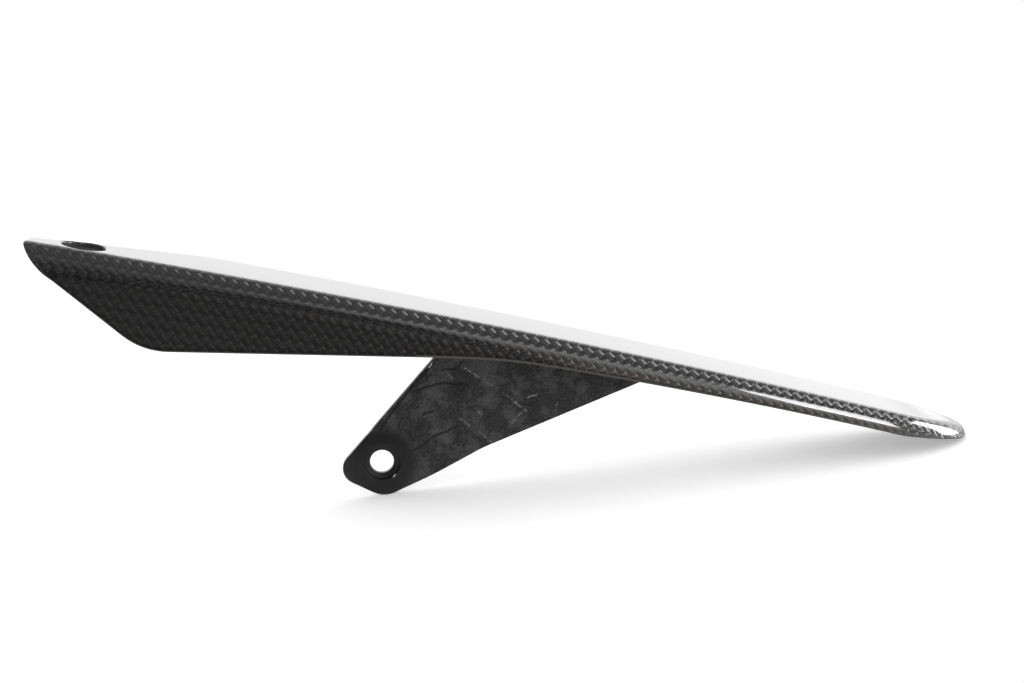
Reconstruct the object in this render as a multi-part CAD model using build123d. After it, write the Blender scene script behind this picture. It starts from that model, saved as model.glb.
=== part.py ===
from build123d import *
from math import asin, degrees, radians, sqrt, tan
import os

# Chain guard of a motorcycle: one moulded carbon-fibre shell.
# Lengths in mm. The shell is drawn level, then tipped to the slope of the swingarm.
# Level frame: +X to the rear, +Y inboard, +Z up, origin on the bolt's axis where its head seats.

# laminate
WALL = 1.2
RIM_RADIUS = 4.0
EDGE_ROUND = 0.45

# top of the guard, seen from the side: one long arc
ARCH_RADIUS = 3300.0
CROWN_X = -12.0
CROWN_Z = 48.0

# outline of the guard, seen from above
WIDTH = 28.5
NOSE_X = 156.6
NOSE_LENGTH = 27.0
KINK_X = -57.3
KINK_RADIUS = 20.0
TAPER_ANGLE = 19.6
TIP_X = -100.0
TIP_RADIUS = 13.0
TIP_CLEAR = 0.3

# skirt on the outboard side, seen from the side
FRONT_ANGLE = 29.1
FRONT_ROUND = 11.5
SKIRT_X = -66.6
SKIRT_Z = 25.0
SKIRT_ANGLE = 9.5
SKIRT_ROUND = 18.0
SKIRT_BLEND = 180.0
ROLL_X = 24.0
ROLL_MIDDLE_X = 80.0
ROLL_MIDDLE_Z = 40.75
ROLL_END_X = 134.0
TAIL_ANGLE = 2.5
TAIL_ROUND = 120.0

# crease between the roll and the hollow skirt panel
CREASE_RADIUS = 1050.0
CREASE_X = -10.0
CREASE_Z = 43.7
CREASE_END_X = 60.0
CREASE_FADE = 0.65
CREASE_ROUND = 1.2
HOLLOW_LENGTH = 24.0
HOLLOW_FLARE = 0.7

# lip along the inboard side and the mounting tab that grows from it
LIP_HEIGHT = 5.2
BOLT_HOLE = 6.6
BORE_LENGTH = 1.9
HEAD_RECESS = 10.0
RECESS_DEPTH = 0.5
TAB_HEEL = (-12.5, -5.9)
TAB_TOE = (2.6, -10.0)
TAB_BEND = (26.7, 9.0)
TAB_BELLY_RADIUS = 230.0
TAB_REAR_ANGLE = 33.9
TAB_FRONT_ANGLE = 61.1
TAB_HEEL_ROUND = 4.5
TAB_TOE_ROUND = 7.0
TAB_BEND_ROUND = 30.0
TAB_ROOT_ROUND = 6.0

# hole in the front end
TOP_HOLE = 10.8
TOP_HOLE_SETBACK = 14.3
HOLE_CHAMFER = 0.4

# slope of the guard on the swingarm, down to the rear
SLOPE = 17.9

# values worked out from the sizes above
FAR_Y = BORE_LENGTH
NEAR_Y = FAR_Y - WIDTH
MIDDLE_Y = (FAR_Y + NEAR_Y) / 2
SPLIT_Y = NEAR_Y + RIM_RADIUS
TOP_HOLE_X = TIP_X + TOP_HOLE_SETBACK
TOP_HOLE_Y = MIDDLE_Y - (KINK_X - TOP_HOLE_X) * tan(radians(TAPER_ANGLE)) / 2
NOSE_START_X = NOSE_X - NOSE_LENGTH
HIGH = CROWN_Z + 20
LOW = TAB_TOE[1] - 20
FRONT = TIP_X - 2.5
REAR = NOSE_X + 10


def arch_z(x, drop):
    """Height of the arc that lies a given drop below the top of the guard."""
    radius = ARCH_RADIUS - drop
    return CROWN_Z - ARCH_RADIUS + sqrt(radius ** 2 - (x - CROWN_X) ** 2)


def arch_arc(x_from, x_to, drop):
    """Stretch of the arc that lies a given drop below the top of the guard."""
    x_mid = (x_from + x_to) / 2
    points = [(x, arch_z(x, drop)) for x in (x_from, x_mid, x_to)]
    return ThreePointArc(*points)


def side_prism(face, y_from, y_to):
    """Solid of a side view drawn in X and Z, from one Y to another."""
    return Pos(0, y_to, 0) * extrude(Plane.XZ * face, y_to - y_from)


def rounded_block(inset, front, rim):
    """Block with the guard's plan and arched top, its top edge rounded all round but the front."""
    near = NEAR_Y + inset
    far = FAR_Y - inset
    slant = tan(radians(TAPER_ANGLE))
    kink_x = KINK_X + inset * tan(radians(TAPER_ANGLE / 2))
    front_far = far - (kink_x - front) * slant
    corners = [(NOSE_START_X, far), (kink_x, far), (front, front_far), (front, near), (NOSE_START_X, near)]
    outline = Polyline(*corners)
    nose = EllipticalCenterArc(
        (NOSE_START_X, MIDDLE_Y), NOSE_LENGTH - inset, WIDTH / 2 - inset, start_angle=-90, arc_size=180
    )
    plan = make_face(outline + nose)
    kink = plan.vertices().sort_by_distance((kink_x, far))[0]
    plan = fillet(kink, KINK_RADIUS - inset)
    block = Pos(0, 0, LOW) * extrude(plan, HIGH - LOW)
    top = arch_arc(front - 5, REAR, inset)
    sides = Polyline(top @ 1, (REAR, LOW - 5), (front - 5, LOW - 5), top @ 0)
    block = block & side_prism(make_face(top + sides), NEAR_Y - 5, FAR_Y + 5)
    roof = block.faces().sort_by(Axis.Z)[-1]
    rims = [edge for edge in roof.edges() if edge.center().X > front + 0.1]
    return fillet(rims, rim)


def hollow(shift):
    """Cutter that leaves the crease and the hollow skirt panel, moved inboard by a shift.

    It is turned a little, so that the crease grows from nothing towards the front.
    """
    y = NEAR_Y + shift
    foot = CREASE_RADIUS - HOLLOW_LENGTH
    start = (y - CREASE_ROUND, CREASE_RADIUS + 2 * CREASE_ROUND)
    bend = (y - CREASE_ROUND * 0.7, CREASE_RADIUS + CREASE_ROUND)
    valley = (y, CREASE_RADIUS)
    belly = (y - HOLLOW_FLARE * 0.2, CREASE_RADIUS - HOLLOW_LENGTH * 0.4)
    end = (y - HOLLOW_FLARE, foot)
    flank = ThreePointArc(start, bend, valley)
    panel = ThreePointArc(valley, belly, end)
    back = Polyline(end, (y - 5, foot), (y - 5, start[1]), start)
    section = Plane.YZ * make_face(flank + panel + back)
    # the section's height is the distance from the centre of the crease's arc
    ring = revolve(Rot(0, -8, 0) * section, Axis.Y, 16)
    ring = Pos(CREASE_X, 0, CREASE_Z - CREASE_RADIUS) * ring
    hinge = Pos(CREASE_END_X, y, 0)
    return hinge * Rot(0, 0, -CREASE_FADE) * hinge.inverse() * ring


def front_line_z(x):
    """Height of the slanting front edge at a given X."""
    return SKIRT_Z - (x - SKIRT_X) * tan(radians(FRONT_ANGLE))


def tail_z(x):
    """Height of the lower edge where it rises again to the nose."""
    return arch_z(ROLL_END_X, LIP_HEIGHT) + (x - ROLL_END_X) * tan(radians(TAIL_ANGLE))


def skirt_view():
    """Side view of what is kept on the outboard side."""
    end_z = arch_z(ROLL_END_X, LIP_HEIGHT)
    roll_z = SKIRT_Z + (ROLL_X - SKIRT_X) * tan(radians(SKIRT_ANGLE))
    roll = ThreePointArc((ROLL_X, roll_z), (ROLL_MIDDLE_X, ROLL_MIDDLE_Z), (ROLL_END_X, end_z))
    frame = Polyline(
        (ROLL_END_X, end_z),
        (REAR, tail_z(REAR)),
        (REAR, HIGH),
        (TIP_X, HIGH),
        (TIP_X, front_line_z(TIP_X)),
        (SKIRT_X, SKIRT_Z),
        (ROLL_X, roll_z),
    )
    view = make_face(roll + frame)
    view = fillet(view.vertices().sort_by_distance((ROLL_END_X, end_z))[0], TAIL_ROUND)
    view = fillet(view.vertices().sort_by_distance((TIP_X, front_line_z(TIP_X)))[0], FRONT_ROUND)
    view = fillet(view.vertices().sort_by_distance((SKIRT_X, SKIRT_Z))[0], SKIRT_ROUND)
    return fillet(view.vertices().sort_by_distance((ROLL_X, roll_z))[0], SKIRT_BLEND)


def front_view():
    """Side view of what is kept behind the slanting front edge."""
    points = [(TIP_X, HIGH), (TIP_X, front_line_z(TIP_X)), (SKIRT_X, SKIRT_Z), (SKIRT_X, LOW)]
    frame = Polyline(*points, (REAR, LOW), (REAR, HIGH), close=True)
    view = make_face(frame)
    return fillet(view.vertices().sort_by_distance((TIP_X, front_line_z(TIP_X)))[0], FRONT_ROUND)


def lip_view():
    """Side view of the lip on the inboard side."""
    lower = arch_arc(FRONT - 5, ROLL_END_X, LIP_HEIGHT)
    frame = Polyline(lower @ 1, (REAR, tail_z(REAR)), (REAR, HIGH), (FRONT - 5, HIGH), lower @ 0)
    view = make_face(lower + frame)
    return fillet(view.vertices().sort_by_distance(lower @ 1)[0], TAIL_ROUND)


def tab_root(start, angle, drop):
    """Where an edge of the tab, drawn up from a start, comes to a given drop below the top."""
    run = 1 / tan(radians(angle))
    x = start[0] + (CROWN_Z - start[1]) * run
    z = arch_z(x, drop)
    return (start[0] + (z - start[1]) * run, z)


def tab_view():
    """Side view of the mounting tab, up into the thickness of the top."""
    rear = tab_root(TAB_BEND, TAB_REAR_ANGLE, WALL / 2)
    front = tab_root(TAB_HEEL, TAB_FRONT_ANGLE, WALL / 2)
    belly = RadiusArc(TAB_BEND, TAB_TOE, TAB_BELLY_RADIUS)
    view = make_face(belly + Polyline(TAB_TOE, TAB_HEEL, front, rear, TAB_BEND))
    view = fillet(view.vertices().sort_by_distance(TAB_HEEL)[0], TAB_HEEL_ROUND)
    view = fillet(view.vertices().sort_by_distance(TAB_TOE)[0], TAB_TOE_ROUND)
    return fillet(view.vertices().sort_by_distance(TAB_BEND)[0], TAB_BEND_ROUND)


def inboard_view():
    """Side view of what is kept on the inboard side: the lip and the tab, with rounded roots."""
    view = lip_view() + tab_view()
    rear = tab_root(TAB_BEND, TAB_REAR_ANGLE, LIP_HEIGHT)
    front = tab_root(TAB_HEEL, TAB_FRONT_ANGLE, LIP_HEIGHT)
    for root in (front, rear):
        view = fillet(view.vertices().sort_by_distance(root)[0], TAB_ROOT_ROUND)
    return view


def tab_slab():
    """Thick part of the tab, with a rounded outline on the side of the bolt's head."""
    slab = side_prism(tab_view(), -RECESS_DEPTH, FAR_Y - WALL / 2)
    face = slab.faces().sort_by(Axis.Y)[0]
    outline = face.edges().sort_by(Axis.Z)[:-1]
    return fillet(outline, EDGE_ROUND)


def front_hole():
    """Cutter for the hole in the middle of the front end, square to the top, with a chamfered upper rim."""
    radius = TOP_HOLE / 2
    depth = -2 * RIM_RADIUS
    mouth = (radius + HOLE_CHAMFER + WALL, WALL)
    corners = [(0, depth), (radius, depth), (radius, -HOLE_CHAMFER), mouth, (0, WALL)]
    section = make_face(Polyline(*corners, close=True))
    cutter = revolve(Plane.XZ * section, Axis.Z)
    tilt = degrees(asin((TOP_HOLE_X - CROWN_X) / ARCH_RADIUS))
    return Pos(TOP_HOLE_X, TOP_HOLE_Y, arch_z(TOP_HOLE_X, 0)) * Rot(0, tilt, 0) * cutter


def tip_plan():
    """Plan of what is kept behind the rounded front end."""
    slant = tan(radians(TAPER_ANGLE))
    far = FAR_Y + TIP_CLEAR
    corner = (TIP_X, far - (KINK_X - TIP_X) * slant)
    near = NEAR_Y - 5
    view = make_face(Polyline((TIP_X, near), corner, (KINK_X, far), (REAR, far), (REAR, near), close=True))
    view = fillet(view.vertices().sort_by_distance(corner)[0], TIP_RADIUS)
    return Pos(0, 0, LOW - 5) * extrude(view, HIGH - LOW + 10)


def chain_guard():
    """The whole guard, drawn level."""
    outer = rounded_block(0, FRONT, RIM_RADIUS) - hollow(0)
    inner = rounded_block(WALL, FRONT - WALL, RIM_RADIUS - WALL) - hollow(WALL)
    shell = outer - inner
    outboard = side_prism(skirt_view(), NEAR_Y - 5, SPLIT_Y)
    inboard = side_prism(inboard_view(), SPLIT_Y, FAR_Y + 5) & side_prism(front_view(), SPLIT_Y, FAR_Y + 5)
    shell = shell & (outboard + inboard) & tip_plan()
    guard = shell + tab_slab()
    bolt = Rot(90, 0, 0) * Cylinder(BOLT_HOLE / 2, 40)
    recess = Pos(0, -RECESS_DEPTH, 0) * Rot(90, 0, 0) * Cylinder(HEAD_RECESS / 2, 2 * RECESS_DEPTH)
    return guard - bolt - recess - front_hole()


os.makedirs("parts", exist_ok=True)
guard = Rot(0, SLOPE, 0) * chain_guard()
export_step(guard, "parts/chain_guard.step")
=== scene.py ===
import math

import bmesh
import bpy
import numpy as np
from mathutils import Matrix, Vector


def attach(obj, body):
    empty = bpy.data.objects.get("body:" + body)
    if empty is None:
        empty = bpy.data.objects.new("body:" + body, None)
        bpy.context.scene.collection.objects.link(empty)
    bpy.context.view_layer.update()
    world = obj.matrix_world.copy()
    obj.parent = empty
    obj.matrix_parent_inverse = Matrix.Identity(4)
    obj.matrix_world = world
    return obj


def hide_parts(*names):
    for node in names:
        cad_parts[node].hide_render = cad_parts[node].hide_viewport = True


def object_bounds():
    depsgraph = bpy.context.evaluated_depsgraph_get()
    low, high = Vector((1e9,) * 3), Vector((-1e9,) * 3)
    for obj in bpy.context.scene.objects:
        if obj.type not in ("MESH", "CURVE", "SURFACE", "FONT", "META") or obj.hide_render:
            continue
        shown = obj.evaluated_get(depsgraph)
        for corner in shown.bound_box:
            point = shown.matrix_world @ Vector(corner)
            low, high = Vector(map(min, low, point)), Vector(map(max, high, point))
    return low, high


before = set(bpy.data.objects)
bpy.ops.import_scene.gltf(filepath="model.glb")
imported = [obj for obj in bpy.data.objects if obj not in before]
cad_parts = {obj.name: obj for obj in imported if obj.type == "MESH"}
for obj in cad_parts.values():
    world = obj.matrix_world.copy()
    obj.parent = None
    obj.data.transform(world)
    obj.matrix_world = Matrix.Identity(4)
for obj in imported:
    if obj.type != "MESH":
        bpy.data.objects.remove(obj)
cad_box = [list(corner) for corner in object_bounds()]

# The shell: carbon cloth laid in a mould and cured, so the whole guard is one thin skin. Its long top has
# the same bullnose rim all round, and on the near side the rim rolls over into a skirt panel under a crease.
# The crease is deepest at the front and fades out towards the rear. Sizes are in mm, drawn level.
slope = math.radians(17.9)
wall, rim = 1.2, 4.0
near_y, far_y = -26.6, 1.9
arch_radius, crown_x, crown_z = 3300.0, -12.0, 48.0
nose_start, nose_length, nose_half = 129.6, 27.0, 14.25
# the front end tapers on the far side and ends in a large round, and its very edge bends down
taper = math.radians(19.6)
kink_centre, kink_inset = (-53.845, -18.1), 16.0
tip_centre, tip_round, tip_bend, tip_lean = (-87.0, -22.17), 13.0, 0.7, 0.33
front_x, front_end = -99.448, -60.0
# the lower edge is sanded round: this deep on both sides, and taller on the near one
edge, edge_tall = 0.45, 1.3
# the lower edge along the nose, as a point (x, z) and its climb, and where the sides turn up into it
nose_foot, nose_climb = (134.0, 39.57), 0.0437
nose_turn_x, nose_turn = 129.0, 10.0
# the near side's lower edge: an arc under the tip, a slanting front edge, a round corner, the skirt's foot
# and then the roll alone, each from the x that is given; centres and points are (x, z)
front_centre, front_round = (-81.87, 56.39), 20.0
skirt_corner = (-66.6, 25.0)
slant_x, front_slant = -91.6, math.tan(math.radians(29.1))
corner_x, corner_centre, corner_round = -72.11, (-63.36, 43.80), 18.0
skirt_x, skirt_slant = -60.38, math.tan(math.radians(9.5))
roll_x, roll_foot, roll_climb, roll_bow = 8.0, (24.0, 40.16), 0.027, 0.000294
roll_turn_x, roll_turn, roll_dip, roll_dip_length = 11.0, 26.0, 0.55, 9.0
# the far side's lip, the round at the tab's front root, and the corner of the lip that lies on the tab
lip_height = 5.2
root_centre, root_round = (4.1, 36.6), 6.0
tab_lean, on_tab_z, on_tab_end = math.radians(61.1), 33.0, 15.5
# the crease's line is a flat bow that falls to the rear; its depth fades out, and its flank leans
crease_top, crease_bow, crease_fall = (-10.0, 42.95), 2100.0, 0.03
crease_end, crease_fade = 60.0, math.tan(math.radians(0.65))
crease_depth, crease_gain = 0.52, 0.0035
flank_lean, flank_ease, flank_range = 36.0, 0.6, (12.0, 28.0)
panel_flare, panel_tall, soft_bend = 0.7, 24.0, 0.3
# towards the rear the roll has a flatter face between two angles from the top; it fades in and out along x
flat_angles, flat_share = (60.0, 90.0), 0.58
flat_in, flat_out = (45.0, 40.0), (142.0, 14.0)
# the far half takes on the near half's shape here, before they meet at the nose
alike_x, alike_length = 142.0, 12.0


def top_z(x):
    return crown_z - (x - crown_x) ** 2 / (2 * arch_radius)


def smooth_step(t):
    t = np.clip(t, 0.0, 1.0)
    return t * t * (3 - 2 * t)


def arc(x, centre, radius):
    """How far a circle lies above or below its centre at x."""
    return np.sqrt(np.maximum(radius ** 2 - (x - centre[0]) ** 2, 0.0))


def tail_foot(x, foot):
    """The lower edge, which turns up again along the rear nose."""
    rise = nose_foot[1] + (x - nose_foot[0]) * nose_climb
    return foot + (rise - foot) * smooth_step((x - nose_turn_x) / nose_turn)


def skirt_foot(x):
    """Height of the lower edge on the near side: slanting front edge, skirt, roll, nose."""
    front_line = skirt_corner[1] - (x - skirt_corner[0]) * front_slant
    skirt_line = skirt_corner[1] + (x - skirt_corner[0]) * skirt_slant
    past = x - roll_foot[0]
    roll = roll_foot[1] + roll_climb * past - roll_bow * past ** 2
    blend = skirt_line + (roll - skirt_line) * smooth_step((x - roll_turn_x) / roll_turn)
    blend = blend - roll_dip * np.exp(-(past / roll_dip_length) ** 2)
    foot = np.where(x < slant_x, front_centre[1] - arc(x, front_centre, front_round), front_line)
    foot = np.where(x > corner_x, corner_centre[1] - arc(x, corner_centre, corner_round), foot)
    foot = np.where(x > skirt_x, skirt_line, foot)
    foot = np.where(x > roll_x, blend, foot)
    return tail_foot(x, foot)


def lip_foot(x):
    """Height of the lower edge of the short lip on the far side, rounded down into the tab's front root."""
    foot = tail_foot(x, top_z(x) - lip_height)
    root_x = root_centre[0] + root_round
    root = root_centre[1] + arc(x, root_centre, root_round)
    foot = np.where((x > root_centre[0]) & (x <= root_x), np.minimum(foot, root), foot)
    on_tab = on_tab_z + (x - root_x) * math.tan(tab_lean)
    return np.where((x > root_x) & (x < on_tab_end), np.minimum(foot, on_tab), foot)


def crease_z(x):
    return crease_top[1] - (x - crease_top[0]) ** 2 / crease_bow - crease_fall * np.maximum(x, 0.0)


def hollow_depth(x, z):
    """How far the crease and the hollow panel lie behind the plain wall."""
    deepest = np.maximum((crease_end - x) * crease_fade, 0.0)
    deepest = np.minimum(deepest, crease_depth - crease_gain * x)
    up = z - crease_z(x)
    lean = np.radians(np.clip(flank_lean - flank_ease * x, *flank_range))
    flank = np.maximum(up, 0.0) * np.tan(lean)
    panel = panel_flare * (np.minimum(up, 0.0) / panel_tall) ** 2
    return np.maximum(deepest - np.where(up > 0, flank, panel), 0.0)


# rows of the mesh from the top down: the rim, the crease with its rows close together, the panel, the edge
crease_rows = np.array([0.8, 0.6, 0.42, 0.27, 0.15, 0.07, 0.02, 0.0, -0.12, -0.4, -1.0])
rows_top, rows_rim, rows_panel, rows_edge = 14, 14, 14, 7


def half_section(x, foot, hollow):
    """Offsets beyond the rim's centre line, heights and run of cloth, from the top down to the lower edge."""
    top = top_z(x)
    tall = max(top - foot, 1e-4)
    bull = min(edge + (edge_tall - edge) * hollow, tall / 6)
    deep = min(edge, bull)
    # where the wall is low, the crease and the rows beside it are squeezed in between rim and edge
    crease = foot + 1.25 * bull + 0.06 * tall
    crease = max(crease_z(x), crease) if hollow else crease
    span = min(1.0, tall / 6)
    upper = min(crease + 2.0 * span, top - 0.3 * min(tall, rim))
    lower = max(crease - 0.8 * span, foot + bull + 0.02 * tall)
    rim_end = rim * math.pi / 2

    def run_at(z):
        drop = top - z
        return rim * math.acos(max(1 - drop / rim, 0.0)) if drop < rim else rim_end + drop - rim

    runs = np.linspace(0.0, run_at(upper), rows_rim)
    angles = np.minimum(runs / rim, math.pi / 2)
    z = top - rim * (1 - np.cos(angles)) - np.maximum(runs - rim_end, 0.0)
    valley = crease + crease_rows * np.where(crease_rows > 0, upper - crease, crease - lower)
    z = np.concatenate([z, valley, np.linspace(lower, foot + bull, rows_panel)[1:]])
    rise = np.clip(z - (top - rim), 0.0, rim)
    offset = np.sqrt(np.maximum(rim ** 2 - rise ** 2, 0.0))
    if hollow:
        plain = offset
        flat_from, flat_to = np.radians(flat_angles)
        part = (np.cos(flat_from) - rise / rim) / (np.cos(flat_from) - np.cos(flat_to))
        part = np.clip(part, 0.0, 1.0)
        chord = rim * (np.sin(flat_from) + part * (np.sin(flat_to) - np.sin(flat_from)))
        flatness = flat_share * smooth_step((x - flat_in[0]) / flat_in[1])
        flatness = flatness * smooth_step((flat_out[0] - x) / flat_out[1])
        offset = offset - (offset - chord) * (1 - (2 * part - 1) ** 4) * flatness
        # the roll runs over into the crease's flank in a soft bend
        sunk = rim - hollow_depth(x, z)
        blend = np.clip(0.5 + 0.5 * (sunk - offset) / soft_bend, 0.0, 1.0)
        bend = soft_bend * blend * (1 - blend) * np.clip((rim - sunk) / soft_bend, 0.0, 1.0)
        offset = sunk + (offset - sunk) * blend - bend
        offset = plain + hollow * (offset - plain)
    turn = np.linspace(0, math.pi / 2, rows_edge)[1:]
    round_offset = offset[-1] - deep * (1 - np.cos(turn))
    round_z = foot + bull * (1 - np.sin(turn))
    # the skin's inside lies one wall behind its outside, and ends at the same cut
    d_offset, d_z = np.gradient(offset), np.gradient(z)
    long = np.maximum(np.hypot(d_offset, d_z), 1e-9)
    out_offset, out_z = -d_z / long, d_offset / long
    out_offset[0], out_z[0] = 0.0, 1.0
    out_offset[-1], out_z[-1] = 1.0, 0.0
    in_offset = np.concatenate([offset - wall * out_offset, np.full(rows_edge - 1, offset[-1] - wall)])
    in_z = np.maximum(z - wall * out_z, foot)
    in_z = np.concatenate([in_z, np.linspace(foot + bull, foot, rows_edge)[1:]])
    offset, z = np.concatenate([offset, round_offset]), np.concatenate([z, round_z])
    in_z = np.minimum(in_z, z)
    run = np.concatenate([[0.0], np.cumsum(np.hypot(np.diff(offset), np.diff(z)))])
    return offset, z, in_offset, in_z, run


def far_path(x):
    """Centre line of the far rim and its outward direction, seen from above."""
    if x >= kink_centre[0]:
        return (x, far_y - rim), (0.0, 1.0)
    bend = min(math.asin(min((kink_centre[0] - x) / kink_inset, 1.0)), taper)
    corner = kink_centre[0] - kink_inset * math.sin(bend)
    y = kink_centre[1] + kink_inset * math.cos(bend) - (corner - x) * math.tan(bend)
    return (x, y), (-math.sin(bend), math.cos(bend))


# stations along the guard: each has the near and far ends of its flat top, the way each rim faces, and how
# far it is from the tip to the end of the taper, from 0 to 1
front_steps, front_crowding, top_steps, nose_steps = 45, 1.6, 131, 35
stations = []
taper_way = np.array([math.cos(taper), math.sin(taper)])
outward = np.array([-math.sin(taper), math.cos(taper)])
near_way = np.array([0.0, -1.0])
near_line = near_y + rim
taper_end = np.array(far_path(front_end)[0])
reach = float(np.dot(np.array(tip_centre) - taper_end, taper_way))
depth_in = float(np.dot(np.array(tip_centre) - taper_end, outward))


def tip_crossing(offset):
    """Where the tip's round end meets the line that lies this far outside the far rim's centre line."""
    along = reach - math.sqrt(max(tip_round ** 2 - (offset - depth_in) ** 2, 0.0))
    return taper_end + along * taper_way + offset * outward


tip_far = tip_crossing(0.0)
for u in np.linspace(0.0, 1.0, front_steps + 1)[:-1] ** front_crowding:
    near = np.array([front_x + u * (front_end - front_x), near_line])
    far = tip_far + u * (taper_end - tip_far)
    stations.append((near, near_way, far, outward, u))
for x in np.linspace(front_end, nose_start, top_steps + 1)[:-1]:
    far, facing = far_path(x)
    stations.append((np.array([x, near_line]), near_way, np.array(far), np.array(facing), 1.0))
nose_centre, flip = np.array([nose_start, (near_y + far_y) / 2]), np.array([1.0, -1.0])
for t in np.linspace(0.0, 1.0, nose_steps + 1):
    turn = math.pi / 2 * (1 - t)
    outer = np.array([nose_length * math.cos(turn), nose_half * math.sin(turn)])
    facing = np.array([math.cos(turn) / nose_length, math.sin(turn) / nose_half])
    facing /= np.linalg.norm(facing)
    inner = outer - rim * facing
    stations.append((nose_centre + inner * flip, facing * flip, nose_centre + inner, facing, 1.0))

# each station's section, from the far lower edge over the top to the near one: skin, its back and the cloth
tip_tuck = 0.5
outside, inside, cloth = [], [], []
for near, near_facing, far, far_facing, u in stations:
    skin, back, laid = [], [], []
    tuck = np.array([tip_tuck * (1 - u), 0.0])
    foot_x = float(far[0] + rim * far_facing[0])
    alike = float(smooth_step((foot_x - alike_x) / alike_length))
    offset, z, in_offset, in_z, run = half_section(foot_x, float(lip_foot(np.array(foot_x))), alike)
    widest = np.maximum.accumulate(offset)
    for k in range(len(offset) - 1, 0, -1):
        shift = (1 - u) * (tip_crossing(widest[k]) - tip_far - widest[k] * outward)
        skin.append([*(far + offset[k] * far_facing + shift), z[k]])
        back.append([*(far + in_offset[k] * far_facing + shift + tuck), in_z[k]])
        laid.append(far + run[k] * far_facing + shift)
    for f in np.linspace(1.0, 0.0, rows_top):
        end = near + f * (far - near)
        if u < 1.0:
            # the tip's front edge is straight by the near rim and round towards the far side
            y = near_line + f * (tip_far[1] - near_line)
            bow = max(tip_round ** 2 - (y - tip_centre[1]) ** 2, 0.0)
            x = tip_centre[0] - math.sqrt(bow) if y > tip_centre[1] else front_x
            start = np.array([max(x, front_x), y])
            rear = np.array([front_end, near_line + f * (taper_end[1] - near_line)])
            end = start + u * (rear - start)
        skin.append([*end, top_z(end[0])])
        back.append([*(end + tuck), top_z(end[0]) - wall])
        laid.append(end)
    foot_x = float(near[0] + rim * near_facing[0])
    offset, z, in_offset, in_z, run = half_section(foot_x, float(skirt_foot(np.array(foot_x))), 1.0)
    for k in range(1, len(offset)):
        skin.append([*(near + offset[k] * near_facing), z[k]])
        back.append([*(near + in_offset[k] * near_facing + tuck), in_z[k]])
        laid.append(near + run[k] * near_facing)
    # the very front end turns down in a small round, but the far lip's lower edge stays
    from_tip = u * (front_end - front_x)
    drop = tip_bend - math.sqrt(max(tip_bend ** 2 - max(tip_bend - from_tip, 0.0) ** 2, 0.0))
    skin, back = np.array(skin), np.array(back)
    above_lip = np.clip((skin[:, 2:] - skin[0, 2]) / lip_height, 0.0, 1.0)
    pull = above_lip * np.array([tip_lean * drop, 0.0, -drop])
    outside.append(skin + pull)
    inside.append(back + pull)
    cloth.append(laid)
outside, inside, cloth = np.array(outside), np.array(inside), np.array(cloth)
n_stations, n_rows = outside.shape[:2]

# the hole in the front end: a patch of rings takes the place of the grid round it
hole_centre, hole_radius, hole_round = np.array([-85.7, -17.406]), 5.4, 0.45
patch_half, patch_rows = 8.2, 7
first, last = 0, 0
for i in range(front_steps + 1):
    if stations[i][0][0] < hole_centre[0] - patch_half:
        first = i
    if stations[i][0][0] < hole_centre[0] + patch_half:
        last = i + 1
half_rows = (n_rows - rows_top) // 2
row_far, row_near = half_rows - patch_rows, half_rows + rows_top + patch_rows - 1
block = [(i, row_far) for i in range(first, last)]
block += [(last, j) for j in range(row_far, row_near)]
block += [(i, row_near) for i in range(last, first, -1)]
block += [(first, j) for j in range(row_near, row_far, -1)]


def skin_z(spot, radius, drop):
    """Height of the skin over a spot near the hole, on the flat or on the start of either rim."""
    near_over = near_line - spot[1]
    far_over = float(np.dot(spot - taper_end, outward))
    over = min(max(near_over, far_over, 0.0), radius * 0.98)
    return top_z(spot[0]) - drop - radius + math.sqrt(radius ** 2 - over ** 2)


verts = list(outside.reshape(-1, 3)) + list(inside.reshape(-1, 3))
laid_on = list(cloth.reshape(-1, 2)) * 2
half = n_stations * n_rows
faces, finish = [], []
clear_coat, bag_side, cut_edge = 0, 1, 2
sanded_rows_front, sanded_rows_rear = 3, 4


def add_face(corners, which):
    faces.append(corners)
    finish.append(which)


for i in range(n_stations - 1):
    for j in range(n_rows - 1):
        if first <= i < last and row_far <= j < row_near:
            continue
        a, b = i * n_rows + j, (i + 1) * n_rows + j
        sanded = sanded_rows_rear if stations[i][0][0] > 0 else sanded_rows_front
        add_face((a, a + 1, b + 1, b), clear_coat if sanded <= j < n_rows - 1 - sanded else cut_edge)
        add_face((half + b, half + b + 1, half + a + 1, half + a), bag_side)
    for j, turned in ((0, False), (n_rows - 1, True)):
        a, b = i * n_rows + j, (i + 1) * n_rows + j
        corners = (a, half + a, half + b, b) if turned else (a, b, half + b, half + a)
        add_face(corners, cut_edge)
for j in range(n_rows - 1):
    add_face((j, half + j, half + j + 1, j + 1), clear_coat)

# a ring starts at each point of the patch's border, runs to the hole, over its round mouth and back below
rings = [[i * n_rows + j] for i, j in block]
reaches, mouth_steps = [0.2, 0.4, 0.6, 0.8, 1.0], 4
coated = len(reaches) + mouth_steps


def add_to_ring(ring, spot, z):
    ring.append(len(verts))
    verts.append([*spot, z])
    laid_on.append(spot)


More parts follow.
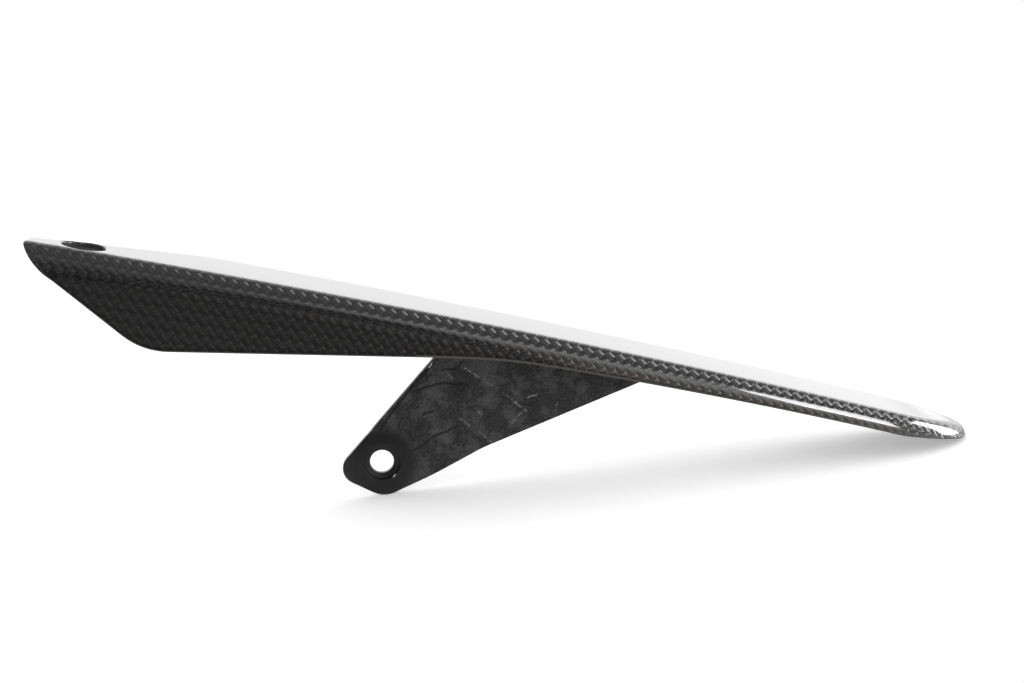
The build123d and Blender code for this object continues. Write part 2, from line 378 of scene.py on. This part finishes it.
for ring, (i, j) in zip(rings, block):
    rim_spot, back_spot = outside[i, j][:2], inside[i, j][:2]
    facing = (rim_spot - hole_centre) / np.linalg.norm(rim_spot - hole_centre)
    mouth = hole_centre + (hole_radius + hole_round) * facing
    for t in reaches:
        spot = rim_spot + t * (mouth - rim_spot)
        add_to_ring(ring, spot, skin_z(spot, rim, 0.0))
    for turn in np.linspace(0, math.pi / 2, mouth_steps + 1)[1:]:
        spot = hole_centre + (hole_radius + hole_round * (1 - math.sin(turn))) * facing
        add_to_ring(ring, spot, skin_z(mouth, rim, hole_round * (1 - math.cos(turn))))
    bore = hole_centre + hole_radius * facing
    for t in [0.0] + reaches[:-1]:
        spot = bore + t * (back_spot - bore)
        add_to_ring(ring, spot, skin_z(spot, rim - wall, wall))
    ring.append(half + i * n_rows + j)
for ring, beside in zip(rings, rings[1:] + rings[:1]):
    for k in range(len(ring) - 1):
        corners = (ring[k], ring[k + 1], beside[k + 1], beside[k])
        add_face(corners, clear_coat if k < coated else bag_side)


def to_frame(points):
    """Level mm to the part's frame in metres: the guard slopes down to the rear."""
    x, y, z = np.array(points, float).T
    x, z = x * math.cos(slope) + z * math.sin(slope), -x * math.sin(slope) + z * math.cos(slope)
    return np.column_stack([x, y, z]) / 1000


def new_mesh(name, points, faces, flat_mm):
    """A mesh of level points in mm, with each point's place on the flat cloth as a map in metres."""
    mesh = bpy.data.meshes.new(name)
    mesh.from_pydata(to_frame(points).tolist(), [], faces)
    flat_map = mesh.uv_layers.new(name="cloth")
    loop_vertex = np.zeros(len(mesh.loops), int)
    mesh.loops.foreach_get("vertex_index", loop_vertex)
    flat_map.data.foreach_set("uv", (np.array(flat_mm)[loop_vertex] / 1000).ravel())
    return mesh


def place_piece(mesh):
    """The mesh as a smooth piece that keeps its sharp edges."""
    mesh.validate()
    mesh.polygons.foreach_set("use_smooth", [True] * len(mesh.polygons))
    mesh.set_sharp_from_angle(angle=math.radians(50))
    piece = bpy.data.objects.new(mesh.name, mesh)
    bpy.context.scene.collection.objects.link(piece)
    even = piece.modifiers.new("even_shading", "WEIGHTED_NORMAL")
    even.keep_sharp = True
    return piece


shell_mesh = new_mesh("guard_shell", verts, faces, laid_on)
shell_mesh.polygons.foreach_set("material_index", finish)
# the two halves are welded along the nose's middle, and the grid's points under the hole's patch are dropped
weld_gap = 6e-8
welded = bmesh.new()
welded.from_mesh(shell_mesh)
bmesh.ops.remove_doubles(welded, verts=welded.verts, dist=weld_gap)
bmesh.ops.delete(welded, geom=[v for v in welded.verts if not v.link_faces], context="VERTS")
welded.to_mesh(shell_mesh)
welded.free()
shell = place_piece(shell_mesh)
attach(shell, "root")
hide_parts("chain_guard")


def linear(hex_colour):
    """sRGB hex to the linear values that Blender shades with."""
    parts = [int(hex_colour[i:i + 2], 16) / 255 for i in (1, 3, 5)]
    return [c / 12.92 if c <= 0.04045 else ((c + 0.055) / 1.055) ** 2.4 for c in parts] + [1.0]


def add(tree, kind, settings, *inputs, **named):
    """Adds a node: its options, then its inputs in order or by name, each a value, a node or an output."""
    node = tree.nodes.new("ShaderNode" + kind)
    for option, value in settings.items():
        setattr(node, option, value)
    in_order = [socket for socket in node.inputs if socket.enabled]
    by_name = [node.inputs[name.replace("_", " ")] for name in named]
    for socket, value in [*zip(in_order, inputs), *zip(by_name, named.values())]:
        if isinstance(value, bpy.types.Node):
            value = next(output for output in value.outputs if output.enabled)
        if isinstance(value, bpy.types.NodeSocket):
            tree.links.new(value, socket)
        else:
            socket.default_value = value
    return node


def new_material(name):
    material = bpy.data.materials.new(name)
    material.use_nodes = True
    material.node_tree.nodes.clear()
    return material, material.node_tree


# Carbon cloth under a polished epoxy coat: a 1 x 1 plain weave of flat tows, at 45 degrees to the length.
# Each tow's fibres shine across their own run, so light falls on one set of tows and then on the other,
# and where a tow dives under its neighbour it shows as a short bright dash. The coat over it is like glass.
# The fibres, 7 microns in fact, are drawn 0.15 mm wide so that they show.
tow_width, tow_crimp, fibre_width = 0.00204, 0.00028, 0.00015
carbon_cloth, tree = new_material("clear_coated_carbon_cloth")
cloth_map = add(tree, "UVMap", {"uv_map": "cloth"})
tows = add(tree, "Mapping", {}, cloth_map, Rotation=(0.0, 0.0, math.radians(-45)), Scale=(1 / tow_width,) * 3)
warp_up = add(tree, "TexChecker", {}, tows, Scale=1.0).outputs["Fac"]
within = add(tree, "SeparateXYZ", {}, add(tree, "VectorMath", {"operation": "FRACTION"}, tows)).outputs
number = add(tree, "SeparateXYZ", {}, add(tree, "VectorMath", {"operation": "FLOOR"}, tows)).outputs
along = add(tree, "Mix", {"data_type": "FLOAT"}, warp_up, within[1], within[0])
across = add(tree, "Mix", {"data_type": "FLOAT"}, warp_up, within[0], within[1])
which = add(tree, "Mix", {"data_type": "FLOAT"}, warp_up, number[0], number[1])
# a tow rises and dives along its run, and its cross-section is a flat lens
crown = add(tree, "Math", {"operation": "SINE"}, add(tree, "Math", {"operation": "MULTIPLY"}, along, math.pi))
middle = add(tree, "Math", {"operation": "MULTIPLY_ADD"}, across, 2.0, -1.0)
flank = add(tree, "Math", {"operation": "POWER"}, add(tree, "Math", {"operation": "ABSOLUTE"}, middle), 4.0)
lens_shape = add(tree, "Math", {"operation": "SUBTRACT"}, 1.0, flank)
tow_height = add(tree, "Math", {"operation": "MULTIPLY"}, crown, lens_shape)
# every tow is packed a little differently
tow_tone = add(tree, "TexWhiteNoise", {"noise_dimensions": "2D"}, add(tree, "CombineXYZ", {}, which, warp_up))
fibre_run = add(tree, "CombineXYZ", {}, add(tree, "Math", {"operation": "MULTIPLY"}, along, 0.5),
                add(tree, "Math", {"operation": "MULTIPLY"}, across, tow_width / fibre_width), which)
fibres = add(tree, "TexNoise", {}, fibre_run, Scale=1.0, Detail=2.0)
tone = add(tree, "Math", {"operation": "MULTIPLY_ADD"}, tow_tone, 0.35,
           add(tree, "Math", {"operation": "MULTIPLY"}, fibres, 0.5))
graphite = add(tree, "Mix", {"data_type": "RGBA"}, tone, linear("#070707"), linear("#161616"))
# between the tows lies dark resin
gap = add(tree, "MapRange", {"interpolation_type": "SMOOTHSTEP"}, tow_height, 0.0, 0.3, 0.5, 1.0)
shade = add(tree, "Mix", {"data_type": "RGBA", "blend_type": "MULTIPLY"}, 1.0, graphite, gap)
crimp = add(tree, "Bump", {}, Strength=1.0, Distance=tow_crimp, Height=tow_height)
fibre_way = add(tree, "Tangent", {"direction_type": "UV_MAP", "uv_map": "cloth"})
fibre_turn = add(tree, "MapRange", {}, warp_up, 0.0, 1.0, 0.125, 0.375)
# the coat bends the light, so at a grazing look the fibres no longer glint and only the coat is seen;
# under the crease the resin lies thicker, and they shine less
grazing = add(tree, "LayerWeight", {}, 0.5).outputs["Facing"]
glint = add(tree, "MapRange", {}, grazing, 0.5, 0.75, 0.57, 0.0)
down = add(tree, "SeparateXYZ", {}, cloth_map).outputs[1]
thin_resin = add(tree, "MapRange", {}, down, -0.0325, -0.0305, 0.5, 1.0)
glint = add(tree, "Math", {"operation": "MULTIPLY"}, glint, thin_resin)
laminate = add(tree, "BsdfPrincipled", {}, Base_Color=shade, IOR=1.6, Roughness=0.45,
               Specular_IOR_Level=glint, Anisotropic=1.0, Anisotropic_Rotation=fibre_turn,
               Tangent=fibre_way, Normal=crimp, Coat_Weight=1.0, Coat_Roughness=0.05, Coat_IOR=1.5)
add(tree, "OutputMaterial", {}, laminate)

# The side that lay against the vacuum bag: bare cured resin over the cloth, dull and dark grey, mottled
# where it pooled, with fine wrinkles of the bag pressed into it.
bag_resin, tree = new_material("bag_side_resin")
bag_map = add(tree, "UVMap", {"uv_map": "cloth"})
pools = add(tree, "TexNoise", {}, bag_map, Scale=1 / 0.006, Detail=6.0, Roughness=0.65)
resin_tone = add(tree, "MapRange", {}, pools, 0.3, 0.7)
resin = add(tree, "Mix", {"data_type": "RGBA"}, resin_tone, linear("#19191a"), linear("#323233"))
wrinkles = add(tree, "Bump", {}, Strength=0.5, Distance=0.0002, Height=pools)
add(tree, "OutputMaterial", {},
    add(tree, "BsdfPrincipled", {}, Base_Color=resin, Roughness=0.5, Normal=wrinkles))

# The trimmed edge: laminate cut and sanded smooth, matt grey with no coat, so it shows as a pale line.
sanded_edge, tree = new_material("sanded_laminate_edge")
add(tree, "OutputMaterial", {}, add(tree, "BsdfPrincipled", {}, Base_Color=linear("#474442"), Roughness=0.6))
for material in (carbon_cloth, bag_resin, sanded_edge):
    shell_mesh.materials.append(material)

# The mounting tab: the same laminate carried down from the far lip as a flat tongue, twice as thick, and
# bolted to the swingarm. The round hole takes the bolt, and its head seats in a shallow ring pressed into
# the face. Points of its outline are (x, z).
tab_front, tab_back, tab_edge = -0.5, 1.87, 0.45
heel, toe, bend = np.array([-12.5, -5.9]), np.array([2.6, -10.0]), np.array([26.7, 9.0])
# the edge between toe and bend bows out a little
belly_bow, belly_way = 0.5, np.array([0.62, -0.78])
belly = (toe + bend) / 2 + belly_way * belly_bow
heel_round, toe_round, belly_round, bend_round = 4.5, 7.0, 90.0, 30.0
rear_lean = math.radians(33.9)
outline_steps, face_steps, back_steps, edge_steps = 360, 39, 7, 5


def up_to_plate(start, angle):
    """Where an edge of the tab, drawn up at an angle, ends inside the thickness of the top."""
    x = start[0] + (crown_z - wall - start[1]) / math.tan(angle)
    z = top_z(x) - wall / 2
    return np.array([start[0] + (z - start[1]) / math.tan(angle), z])


def rounded_corner(before, corner, after, radius, steps):
    """Points of the arc that rounds one corner of an outline."""
    back, on = before - corner, after - corner
    back, on = back / np.linalg.norm(back), on / np.linalg.norm(on)
    half_angle = math.acos(np.clip(np.dot(back, on), -1, 1)) / 2
    centre = corner + (back + on) / np.linalg.norm(back + on) * radius / math.sin(half_angle)
    start = corner + back * radius / math.tan(half_angle) - centre
    end = corner + on * radius / math.tan(half_angle) - centre
    sweep = math.atan2(start[0] * end[1] - start[1] * end[0], np.dot(start, end))
    across = np.array([-start[1], start[0]])
    return [centre + start * math.cos(a) + across * math.sin(a) for a in np.linspace(0, sweep, steps)]


rear_root, front_root = up_to_plate(bend, rear_lean), up_to_plate(heel, tab_lean)
outline = [front_root]
outline += rounded_corner(front_root, heel, toe, heel_round, 14)
outline += rounded_corner(heel, toe, belly, toe_round, 14)
outline += rounded_corner(toe, belly, bend, belly_round, 8)
outline += rounded_corner(belly, bend, rear_root, bend_round, 8)
outline += [rear_root, front_root]
outline = np.array(outline)
stretch = np.concatenate([[0.0], np.cumsum(np.linalg.norm(np.diff(outline, axis=0), axis=1))])
spots = np.linspace(0.0, stretch[-1], outline_steps + 1)[:-1]
outline = np.column_stack([np.interp(spots, stretch, outline[:, axis]) for axis in (0, 1)])
edge_way = np.roll(outline, -1, axis=0) - np.roll(outline, 1, axis=0)
edge_way /= np.linalg.norm(edge_way, axis=1)[:, None]
inward = np.column_stack([-edge_way[:, 1], edge_way[:, 0]])
round_hole = outline / np.linalg.norm(outline, axis=1)[:, None]
# the edge's round fades out at the roots
root_fade = 4.0
root_gap = np.linalg.norm(outline[:, None] - np.array([rear_root, front_root])[None], axis=2).min(axis=1)
inset = inward * tab_edge * np.clip(root_gap / root_fade, 0.0, 1.0)[:, None]
face_edge = outline + inset


def tab_ring(spread, y):
    return np.column_stack([spread[:, 0], np.full(len(spread), y), spread[:, 1]])


# loops from the back through the bolt's hole, over its seat and the face, and round the edge to the back;
# the hole and seat are given as (radius, y)
back_ring = 3.9
bolt_hole = [(3.55, tab_back), (3.35, tab_back - 0.1), (3.3, tab_back - 0.3), (3.3, 0.2), (3.35, 0.06)]
bolt_seat = [(3.5, 0.0), (4.6, 0.0), (4.8, -0.05), (4.88, -0.25), (5.0, -0.4), (5.2, -0.48),
             (5.45, tab_front)]
loops = [tab_ring(round_hole * radius, y) for radius, y in bolt_hole + bolt_seat]
seat, back_seat = round_hole * bolt_seat[-1][0], round_hole * back_ring
loops += [tab_ring(seat + (face_edge - seat) * t, tab_front) for t in np.linspace(0, 1, face_steps + 1)[1:]]
turns = np.linspace(0, math.pi / 2, edge_steps + 1)
for turn in turns[1:]:
    spread = outline + inset * (1 - math.sin(turn))
    loops.append(tab_ring(spread, tab_front + tab_edge * (1 - math.cos(turn))))
for turn in turns:
    spread = outline + inset * (1 - math.cos(turn))
    loops.append(tab_ring(spread, tab_back - tab_edge * (1 - math.sin(turn))))
for t in np.linspace(1, 0, back_steps + 1)[1:]:
    loops.append(tab_ring(back_seat + (face_edge - back_seat) * t, tab_back))
tab_faces = []
for k in range(len(loops)):
    here, on = k * outline_steps, (k + 1) % len(loops) * outline_steps
    for i in range(outline_steps):
        beside = (i + 1) % outline_steps
        tab_faces.append((here + i, on + i, on + beside, here + beside))
# its root stays inside the skin of the far rim
under_skin = 0.05
tab_points = np.concatenate(loops)
rise = np.clip(tab_points[:, 2] - top_z(tab_points[:, 0]) + rim, 0.0, rim)
skin_y = far_y - rim + np.sqrt(rim ** 2 - rise ** 2)
tab_points[:, 1] = np.minimum(tab_points[:, 1], skin_y - under_skin)
tab_mesh = new_mesh("mounting_tab", tab_points, tab_faces, tab_points[:, [0, 2]])
tab = place_piece(tab_mesh)
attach(tab, "root")
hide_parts("chain_guard")


def least(tree, values):
    """The smallest of several values."""
    smallest = values[0]
    for value in values[1:]:
        smallest = add(tree, "Math", {"operation": "MINIMUM"}, smallest, value)
    return smallest


def line_gap(tree, spot, path):
    """How far a spot on the map lies from a line drawn through the given points."""
    gaps = []
    for start, end in zip(path, path[1:]):
        reach = Vector((*end, 0.0)) - Vector((*start, 0.0))
        from_start = add(tree, "VectorMath", {"operation": "SUBTRACT"}, spot, (*start, 0.0))
        per_reach = reach / reach.length_squared
        share = add(tree, "VectorMath", {"operation": "DOT_PRODUCT"}, from_start, per_reach)
        held = add(tree, "Clamp", {}, share.outputs["Value"])
        on_line = add(tree, "VectorMath", {"operation": "SCALE"}, reach, Scale=held)
        distance = add(tree, "VectorMath", {"operation": "DISTANCE"}, from_start, on_line)
        gaps.append(distance.outputs["Value"])
    return least(tree, gaps)


# The tab's bag side: dark slate resin, cloudy and finely grained, smooth and darker round the bolt where the
# washer sat. Folds of the bag show as black lines and handling has left pale scratches; near-white painted
# highlights stand for glints of light along the edge, by the root and on the rim of the bolt's seat.
# The map is in mm from the bolt's axis.
tab_resin, tree = new_material("bag_side_resin_handled")
in_mm = (1000.0,) * 3
flat_map = add(tree, "UVMap", {"uv_map": "cloth"})
tab_spot = add(tree, "Mapping", {}, flat_map, Scale=in_mm)
shake = add(tree, "TexNoise", {}, tab_spot, Scale=1 / 1.8, Detail=3.0, Roughness=0.6)
shifted = add(tree, "Mapping", {}, flat_map, Location=(-0.5, -0.5, 0.0), Scale=in_mm)
wavy = add(tree, "VectorMath", {"operation": "MULTIPLY_ADD"}, shake.outputs["Color"], (1.0, 1.0, 0.0),
           shifted)
clouds = add(tree, "TexNoise", {}, tab_spot, Scale=1 / 7.0, Detail=6.0, Roughness=0.65)
grain = add(tree, "TexNoise", {}, tab_spot, Scale=1 / 0.7, Detail=4.0, Roughness=0.7)
mixed = add(tree, "Mix", {"data_type": "FLOAT"}, 0.4, clouds, grain)
from_bolt = add(tree, "VectorMath", {"operation": "LENGTH"}, tab_spot).outputs["Value"]
rough = add(tree, "MapRange", {"interpolation_type": "SMOOTHSTEP"}, from_bolt, 7.0, 13.0)
on_vein = add(tree, "Math", {"operation": "COMPARE"}, clouds, 0.47, 0.012)
veins = add(tree, "MapRange", {}, on_vein, 0.0, 1.0, 1.0, 0.35)
cloudy = add(tree, "Math", {"operation": "MULTIPLY"}, add(tree, "MapRange", {}, mixed, 0.40, 0.60), veins)
cloudy = add(tree, "Math", {"operation": "MULTIPLY"}, cloudy, rough)
slate = add(tree, "Mix", {"data_type": "RGBA"}, cloudy, linear("#0a0a0a"), linear("#4b4a4a"))
folds = [[(5.0, 21.5), (8.7, 23.7), (12.3, 25.3), (18.9, 25.9)],
         [(7.8, 4.7), (10.8, 7.4), (12.3, 9.6), (18.7, 13.9)],
         [(8.4, 30.3), (4.0, 22.5), (0.2, 15.0), (-2.4, 8.9)],
         [(11.2, 28.7), (15.2, 30.0), (16.0, 32.3)], [(8.4, 15.3), (10.9, 16.9)], [(5.4, 9.8), (7.4, 7.8)]]
scratches = [[(17.1, 30.4), (24.2, 27.5), (29.5, 25.3), (36.6, 21.4)], [(12.2, 28.6), (13.9, 27.2)],
             [(17.5, 16.6), (19.6, 15.9), (21.9, 14.5)], [(25.0, 13.1), (28.9, 10.9)],
             [(34.5, 24.5), (38.8, 27.0)], [(44.0, 24.5), (44.5, 25.7)], [(35.2, 21.1), (32.4, 15.9)],
             [(22.3, 20.0), (24.3, 18.4)], [(31.5, 26.6), (32.5, 25.7)]]
# painted highlights: near-white glints of light on the left edge, by the root and on the seat's rim
painted_glints = [[(7.4, 28.8), (8.1, 30.3)], [(-5.6, 7.0), (-3.9, 10.1)], [(-10.3, 0.6), (-6.0, 6.8)],
         [(4.0, -3.4), (4.4, -2.8)]]
marks = ((folds, 0.5, 0.35, "#040404"), (scratches, 0.3, 0.46, "#80807e"), (painted_glints, 0.3, 0.46, "#e8e8e6"))
wear = add(tree, "Mix", {"data_type": "FLOAT"}, 0.6, shake, grain)
shade = slate
for paths, wide, broken, colour in marks:
    nearest = least(tree, [line_gap(tree, wavy, path) for path in paths])
    mark = add(tree, "MapRange", {"interpolation_type": "SMOOTHSTEP"}, nearest, 0.3 * wide, wide, 1.0, 0.0)
    kept = add(tree, "MapRange", {}, wear, broken, broken + 0.1)
    mark = add(tree, "Math", {"operation": "MULTIPLY"}, mark, kept)
    shade = add(tree, "Mix", {"data_type": "RGBA"}, mark, shade, linear(colour))
rough_face = add(tree, "Bump", {}, Height=cloudy, Strength=0.7, Distance=0.00015)
dullness = add(tree, "MapRange", {}, rough, 0.0, 1.0, 0.3, 0.5)
tab_face = add(tree, "BsdfPrincipled", {}, Base_Color=shade, Roughness=dullness, Specular_IOR_Level=0.3,
               Normal=rough_face)
add(tree, "OutputMaterial", {}, tab_face)
tab_mesh.materials.append(tab_resin)

# The stage: a white table that ends just in front of the guard, in a white studio with a dim, brownish room
# behind the camera. A wide panel behind the guard lights its top, a soft box at its rear end brings out
# the weave, and a window to the front right gives the long streak along the roll.
floor_half, floor_front, floor_back, floor_z = 3.0, -0.045, 1.25, cad_box[0][2]
floor_sides = [(-floor_half, floor_front), (floor_half, floor_front), (floor_half, floor_back),
               (-floor_half, floor_back)]
floor_mesh = bpy.data.meshes.new("floor")
floor_mesh.from_pydata([(x, y, floor_z) for x, y in floor_sides], [], [(0, 1, 2, 3)])
floor = bpy.data.objects.new("floor", floor_mesh)
bpy.context.scene.collection.objects.link(floor)
paper, tree = new_material("matt_white_paper")
ray = add(tree, "LightPath", {}).outputs
mirrored = add(tree, "Math", {"operation": "MAXIMUM"}, ray["Is Glossy Ray"], ray["Is Transmission Ray"])
seen = add(tree, "Math", {"operation": "MAXIMUM"}, ray["Is Camera Ray"], mirrored)
lift = add(tree, "Emission", {}, linear("#ffffff"), add(tree, "Math", {"operation": "MULTIPLY"}, seen, 0.34))
matt_white = add(tree, "BsdfDiffuse", {}, linear("#f4f4f4"))
add(tree, "OutputMaterial", {}, add(tree, "AddShader", {}, matt_white, lift))
floor_mesh.materials.append(paper)

# The studio as the coat mirrors it, by its turn over the guard: from the white table behind, under it to
# the dark room in front, up over the lit wall and the grey ceiling, and down the white back wall.
world = bpy.data.worlds.new("studio")
bpy.context.scene.world = world
world.use_nodes = True
world.cycles.sampling_method = "NONE"
tree = world.node_tree
tree.nodes.clear()
glossy = add(tree, "LightPath", {}).outputs["Is Glossy Ray"]
way = add(tree, "TexCoord", {}).outputs["Generated"]
to_x, to_y, to_z = add(tree, "SeparateXYZ", {}, way).outputs
to_front = add(tree, "Math", {"operation": "MULTIPLY"}, to_y, -1.0)
climb = add(tree, "Math", {"operation": "ARCTAN2"}, to_z, to_front)
turn = add(tree, "MapRange", {}, climb, -math.pi, math.pi, 0.0, 1.0)
room = add(tree, "ValToRGB", {}, turn)
stops = [(0.0, "#ffffff"), (0.24, "#ffffff"), (0.27, "#1c1816"), (0.42, "#302826"), (0.46, "#948a86"),
         (0.50, "#cacaca"), (0.55, "#cecece"), (0.62, "#aeaeae"), (0.75, "#a8a8a8"), (0.83, "#a4a4a4"),
         (0.885, "#ffffff"), (1.0, "#ffffff")]
for place, colour in stops[2:]:
    room.color_ramp.elements.new(place)
for element, (place, colour) in zip(room.color_ramp.elements, stops):
    element.position, element.color = place, linear(colour)
# low in front of the guard the room is dimmer
low = add(tree, "Math", {"operation": "MULTIPLY_ADD"}, to_x, 0.3, turn)
in_front = add(tree, "MapRange", {}, low, 0.475, 0.50, 1.0, 0.0)
room = add(tree, "Mix", {"data_type": "RGBA", "blend_type": "MULTIPLY"}, in_front, room, linear("#bcbcbc"))
seen = add(tree, "Mix", {"data_type": "RGBA"}, glossy, linear("#ffffff"), room)
# above that the room is lit by the window, more so towards the right
lit = add(tree, "MapRange", {}, low, 0.475, 0.50)
below_top = add(tree, "MapRange", {}, turn, 0.53, 0.58, 1.0, 0.0)
left_of_end = add(tree, "MapRange", {}, to_x, 0.48, 0.58, 1.0, 0.0)
for limit in (below_top, left_of_end, glossy):
    lit = add(tree, "Math", {"operation": "MULTIPLY"}, lit, limit)
window_light = add(tree, "MapRange", {}, to_x, -0.02, 0.25, 0.45, 4.4)
strength = add(tree, "Mix", {"data_type": "FLOAT"}, lit, 1.0, window_light)
add(tree, "OutputWorld", {}, add(tree, "Background", {}, seen, strength))


def lamp(name, place, aim, width, height, radiance):
    """A soft box of the given size and brightness, turned towards a point."""
    box = bpy.data.lights.new(name, "AREA")
    box.shape, box.size, box.size_y = "RECTANGLE", width, height
    box.energy = radiance * math.pi * width * height
    holder = bpy.data.objects.new(name, box)
    holder.location = place
    holder.rotation_euler = (Vector(aim) - Vector(place)).to_track_quat("-Z", "Y").to_euler()
    holder.visible_camera = False
    holder.visible_diffuse = False
    bpy.context.scene.collection.objects.link(holder)
    return holder


lamp("back_panel", (0.35, 0.30, 0.13), (0.35, 0.0, 0.13), 1.4, 0.278, 1.15)
lamp("side_box", (0.36, -0.028, 0.075), (0.03, -0.02, 0.04), 0.135, 0.17, 15.0)
window = lamp("front_window", (0.286, -0.328, 0.082), (0.13, -0.03, 0.03), 0.075, 0.085, 26.0)
# the window's light is a narrow beam, as bright along its middle as a plain soft box
half_beam = math.radians(20.0)
window.data.spread = 2 * half_beam
window.data.energy *= (math.tan(half_beam) - half_beam) / math.tan(half_beam)

# The camera stands on the skirt's side, a little above, with a normal lens.
lens = bpy.data.cameras.new("camera")
lens.sensor_width, lens.lens, lens.clip_start = 36.0, 52.734, 0.01
camera = bpy.data.objects.new("camera", lens)
camera.location = (0.00464, -0.39968, 0.12185)
camera.rotation_euler = [math.radians(a) for a in (76.9556, 5.6859, -6.2716)]
bpy.context.scene.collection.objects.link(camera)
bpy.context.scene.camera = camera
bpy.context.scene.view_settings.view_transform = "Standard"
